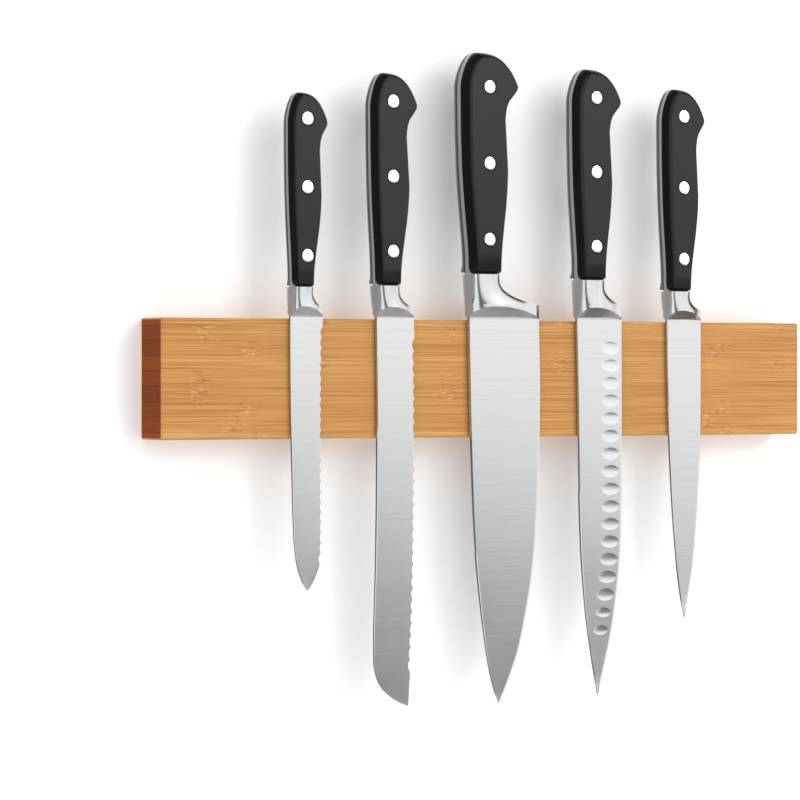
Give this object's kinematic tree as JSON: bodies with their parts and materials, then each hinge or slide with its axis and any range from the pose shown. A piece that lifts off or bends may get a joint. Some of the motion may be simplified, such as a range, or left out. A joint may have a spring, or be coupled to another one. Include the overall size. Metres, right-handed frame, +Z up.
{
  "type": "magnetic knife strip with knives",
  "caption": "Wall-mounted bamboo magnetic strip with forged full-tang kitchen knives hanging point down; every knife pulls off towards the front.",
  "frame": {"origin": "centre of the strip's back face, on the wall", "axes": "+X along the strip to the right seen from the room, +Y into the wall, +Z up"},
  "size_m": [0.406, 0.0304, 0.3403],
  "materials": {
    "bamboo": "oiled laminated bamboo, satin",
    "bamboo_panel": "thin bamboo panel, unfinished",
    "keeper_steel": "plain rolled steel",
    "magnet_plating": "nickel-plated magnet",
    "screw_steel": "zinc-plated screw",
    "zinc_plate": "zinc-plated pressed steel",
    "blade_steel": "satin-ground stainless steel, bolster polished",
    "handle_black": "black moulded acetal, satin",
    "rivet_steel": "polished stainless steel"
  },
  "bodies": {
    "strip": {"bamboo_board": "bamboo", "back_panel": "bamboo_panel", "steel_keeper": "keeper_steel", "magnet_1": "magnet_plating", "magnet_2": "magnet_plating", "magnet_3": "magnet_plating", "magnet_4": "magnet_plating", "magnet_5": "magnet_plating", "magnet_6": "magnet_plating", "magnet_7": "magnet_plating", "magnet_8": "magnet_plating", "panel_screw_1": "screw_steel", "panel_screw_2": "screw_steel", "panel_screw_3": "screw_steel", "panel_screw_4": "screw_steel", "hanger_plate_left": "zinc_plate", "hanger_plate_right": "zinc_plate", "hanger_screw_left_upper": "screw_steel", "hanger_screw_left_lower": "screw_steel", "hanger_screw_right_upper": "screw_steel", "hanger_screw_right_lower": "screw_steel"},
    "tomato_knife": {"tomato_blade": "blade_steel", "tomato_scale_front": "handle_black", "tomato_scale_back": "handle_black", "tomato_rivet_top": "rivet_steel", "tomato_rivet_middle": "rivet_steel", "tomato_rivet_bottom": "rivet_steel"},
    "bread_knife": {"bread_blade": "blade_steel", "bread_scale_front": "handle_black", "bread_scale_back": "handle_black", "bread_rivet_top": "rivet_steel", "bread_rivet_middle": "rivet_steel", "bread_rivet_bottom": "rivet_steel"},
    "chef_knife": {"chef_blade": "blade_steel", "chef_scale_front": "handle_black", "chef_scale_back": "handle_black", "chef_rivet_top": "rivet_steel", "chef_rivet_middle": "rivet_steel", "chef_rivet_bottom": "rivet_steel"},
    "carving_knife": {"carving_blade": "blade_steel", "carving_scale_front": "handle_black", "carving_scale_back": "handle_black", "carving_rivet_top": "rivet_steel", "carving_rivet_middle": "rivet_steel", "carving_rivet_bottom": "rivet_steel"},
    "utility_knife": {"utility_blade": "blade_steel", "utility_scale_front": "handle_black", "utility_scale_back": "handle_black", "utility_rivet_top": "rivet_steel", "utility_rivet_middle": "rivet_steel", "utility_rivet_bottom": "rivet_steel"}
  },
  "joints": [
    {"name": "tomato_pull_off", "type": "slide", "parent": "strip", "child": "tomato_knife", "axis": [0, -1, 0], "range_m": [0, 0.1]},
    {"name": "bread_pull_off", "type": "slide", "parent": "strip", "child": "bread_knife", "axis": [0, -1, 0], "range_m": [0, 0.1]},
    {"name": "chef_pull_off", "type": "slide", "parent": "strip", "child": "chef_knife", "axis": [0, -1, 0], "range_m": [0, 0.1]},
    {"name": "carving_pull_off", "type": "slide", "parent": "strip", "child": "carving_knife", "axis": [0, -1, 0], "range_m": [0, 0.1]},
    {"name": "utility_pull_off", "type": "slide", "parent": "strip", "child": "utility_knife", "axis": [0, -1, 0], "range_m": [0, 0.1]}
  ]
}
